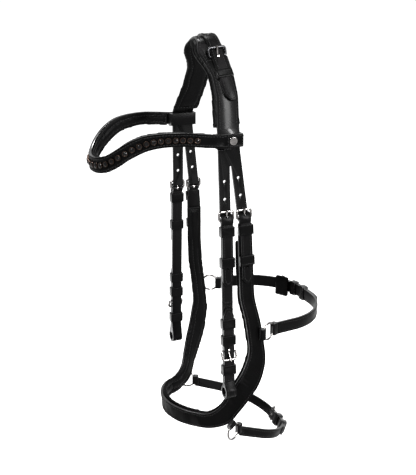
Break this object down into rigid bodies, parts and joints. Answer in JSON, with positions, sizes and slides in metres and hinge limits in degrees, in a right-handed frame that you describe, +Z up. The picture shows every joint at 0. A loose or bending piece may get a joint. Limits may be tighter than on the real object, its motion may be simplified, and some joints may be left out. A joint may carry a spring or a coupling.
{
  "type": "snaffle bridle",
  "caption": "Black leather snaffle bridle with padded headpiece, shaped browband with crystals, cheekpieces, and a shaped padded noseband with jaw and chin straps on rings.",
  "frame": {"origin": "the poll seat: middle of the underside of the headpiece padding, where it lies on the horse's poll", "axes": "+Z up, -X towards the horse's nose, -Y is the horse's left side"},
  "size_m": [0.3137, 0.2092, 0.5585],
  "materials": {
    "leather_strap": "smooth black, semi-gloss",
    "leather_lining": "soft black, satin",
    "metal": "polished",
    "dark_metal": "dark bronze",
    "crystal": "black, faceted"
  },
  "bodies": {
    "headpiece": {"headpiece": "leather_strap", "headpiece_padding": "leather_lining", "crown_strap": "leather_strap", "crown_buckle": "metal", "crown_keeper": "leather_strap", "cheek_buckle_left": "metal", "cheek_buckle_right": "metal"},
    "browband": {"browband": "leather_strap", "browband_padding": "leather_lining", "browband_crystal_cups": "dark_metal", "browband_crystals": "crystal", "browband_stud": "metal"},
    "noseband": {"noseband": "leather_strap", "noseband_padding": "leather_lining", "jaw_ring_chapes": "leather_strap", "chin_ring_chapes": "leather_strap", "noseband_buckle_left": "metal", "noseband_billet_tip_left": "leather_strap", "noseband_keepers_left": "leather_strap", "noseband_buckle_right": "metal", "noseband_billet_tip_right": "leather_strap", "noseband_keepers_right": "leather_strap"},
    "cheekpiece_left": {"cheek_strap_left": "leather_strap", "cheek_billet_tip_left": "leather_strap", "cheek_fixed_keepers_left": "leather_strap", "bit_buckle_left": "metal"},
    "cheek_sliding_keeper_left": {"cheek_sliding_keeper_left": "leather_strap"},
    "cheek_tongue_left": {"cheek_tongue_left": "metal"},
    "bit_tongue_left": {"bit_tongue_left": "metal"},
    "noseband_tongue_left": {"noseband_tongue_left": "metal"},
    "jaw_ring_left": {"jaw_ring_left": "metal"},
    "chin_ring_left": {"chin_ring_left": "metal"},
    "cheekpiece_right": {"cheek_strap_right": "leather_strap", "cheek_billet_tip_right": "leather_strap", "cheek_fixed_keepers_right": "leather_strap", "bit_buckle_right": "metal"},
    "cheek_sliding_keeper_right": {"cheek_sliding_keeper_right": "leather_strap"},
    "cheek_tongue_right": {"cheek_tongue_right": "metal"},
    "bit_tongue_right": {"bit_tongue_right": "metal"},
    "noseband_tongue_right": {"noseband_tongue_right": "metal"},
    "jaw_ring_right": {"jaw_ring_right": "metal"},
    "chin_ring_right": {"chin_ring_right": "metal"},
    "jaw_strap": {"jaw_strap_left": "leather_strap", "jaw_strap_right": "leather_strap", "jaw_pad": "leather_lining", "jaw_buckle": "metal", "jaw_keepers": "leather_strap"},
    "chin_strap": {"chin_strap_left": "leather_strap", "chin_strap_right": "leather_strap", "chin_buckle": "metal", "chin_keepers": "leather_strap"},
    "jaw_tongue": {"jaw_tongue": "metal"},
    "chin_tongue": {"chin_tongue": "metal"},
    "crown_tongue": {"crown_tongue": "metal"}
  },
  "joints": [
    {"name": "browband_slide", "type": "slide", "parent": "headpiece", "child": "browband", "axis": [0, 0, -1], "range_m": [-0.001, 0.008]},
    {"name": "cheekpiece_left_swing", "type": "hinge", "parent": "headpiece", "child": "cheekpiece_left", "pos_m": [-0.0065, -0.0824, -0.203], "axis": [-1, 0, 0], "range_deg": [0, 25]},
    {"name": "cheek_sliding_keeper_left_slide", "type": "slide", "parent": "cheekpiece_left", "child": "cheek_sliding_keeper_left", "axis": [0, -0.0454, -0.999], "range_m": [-0.012, 0.025]},
    {"name": "cheek_tongue_left_hinge", "type": "hinge", "parent": "headpiece", "child": "cheek_tongue_left", "pos_m": [-0.0065, -0.0824, -0.203], "axis": [1, 0, 0], "range_deg": [0, 12]},
    {"name": "bit_tongue_left_hinge", "type": "hinge", "parent": "cheekpiece_left", "child": "bit_tongue_left", "pos_m": [-0.0065, -0.09197, -0.37174], "axis": [-1, 0, 0], "range_deg": [0, 12]},
    {"name": "noseband_tongue_left_hinge", "type": "hinge", "parent": "noseband", "child": "noseband_tongue_left", "pos_m": [0.0175, -0.0824, -0.203], "axis": [0.9994, 0.0016, 0.0349], "range_deg": [0, 12]},
    {"name": "jaw_ring_left_turn", "type": "hinge", "parent": "noseband", "child": "jaw_ring_left", "pos_m": [0.048, -0.095, -0.354], "axis": [-0.4695, 0.8829, 0], "continuous": true},
    {"name": "chin_ring_left_turn", "type": "hinge", "parent": "noseband", "child": "chin_ring_left", "pos_m": [0.006, -0.082, -0.496], "axis": [-0.4695, 0.8829, 0], "continuous": true},
    {"name": "cheekpiece_right_swing", "type": "hinge", "parent": "headpiece", "child": "cheekpiece_right", "pos_m": [-0.0065, 0.0824, -0.203], "axis": [1, 0, 0], "range_deg": [0, 25]},
    {"name": "cheek_sliding_keeper_right_slide", "type": "slide", "parent": "cheekpiece_right", "child": "cheek_sliding_keeper_right", "axis": [0, 0.0454, -0.999], "range_m": [-0.012, 0.025]},
    {"name": "cheek_tongue_right_hinge", "type": "hinge", "parent": "headpiece", "child": "cheek_tongue_right", "pos_m": [-0.0065, 0.0824, -0.203], "axis": [-1, 0, 0], "range_deg": [0, 12]},
    {"name": "bit_tongue_right_hinge", "type": "hinge", "parent": "cheekpiece_right", "child": "bit_tongue_right", "pos_m": [-0.0065, 0.09197, -0.37174], "axis": [1, 0, 0], "range_deg": [0, 12]},
    {"name": "noseband_tongue_right_hinge", "type": "hinge", "parent": "noseband", "child": "noseband_tongue_right", "pos_m": [0.0175, 0.0824, -0.203], "axis": [-0.9994, 0.0016, -0.0349], "range_deg": [0, 12]},
    {"name": "jaw_ring_right_turn", "type": "hinge", "parent": "noseband", "child": "jaw_ring_right", "pos_m": [0.048, 0.095, -0.354], "axis": [0.4695, 0.8829, 0], "continuous": true},
    {"name": "chin_ring_right_turn", "type": "hinge", "parent": "noseband", "child": "chin_ring_right", "pos_m": [0.006, 0.082, -0.496], "axis": [0.4695, 0.8829, 0], "continuous": true},
    {"name": "noseband_swing", "type": "hinge", "parent": "headpiece", "child": "noseband", "pos_m": [0.0175, 0, -0.203], "axis": [0, -1, 0], "range_deg": [-1, 6]},
    {"name": "jaw_strap_swing", "type": "hinge", "parent": "noseband", "child": "jaw_strap", "pos_m": [0.048, 0, -0.354], "axis": [0, -1, 0], "range_deg": [-12, 12]},
    {"name": "jaw_tongue_hinge", "type": "hinge", "parent": "jaw_strap", "child": "jaw_tongue", "pos_m": [0.1469, 0.04594, -0.35573], "axis": [-0.0175, 0, -0.9998], "range_deg": [0, 12]},
    {"name": "chin_strap_swing", "type": "hinge", "parent": "noseband", "child": "chin_strap", "pos_m": [0.006, 0, -0.496], "axis": [0, -1, 0], "range_deg": [-12, 12]},
    {"name": "chin_tongue_hinge", "type": "hinge", "parent": "chin_strap", "child": "chin_tongue", "pos_m": [0.10669, 0, -0.53465], "axis": [-0.3584, 0, -0.9336], "range_deg": [0, 12]},
    {"name": "crown_tongue_hinge", "type": "hinge", "parent": "headpiece", "child": "crown_tongue", "pos_m": [0.00617, -0.02606, -0.01246], "axis": [0.9952, 0.0561, 0.0801], "range_deg": [0, 12]}
  ]
}
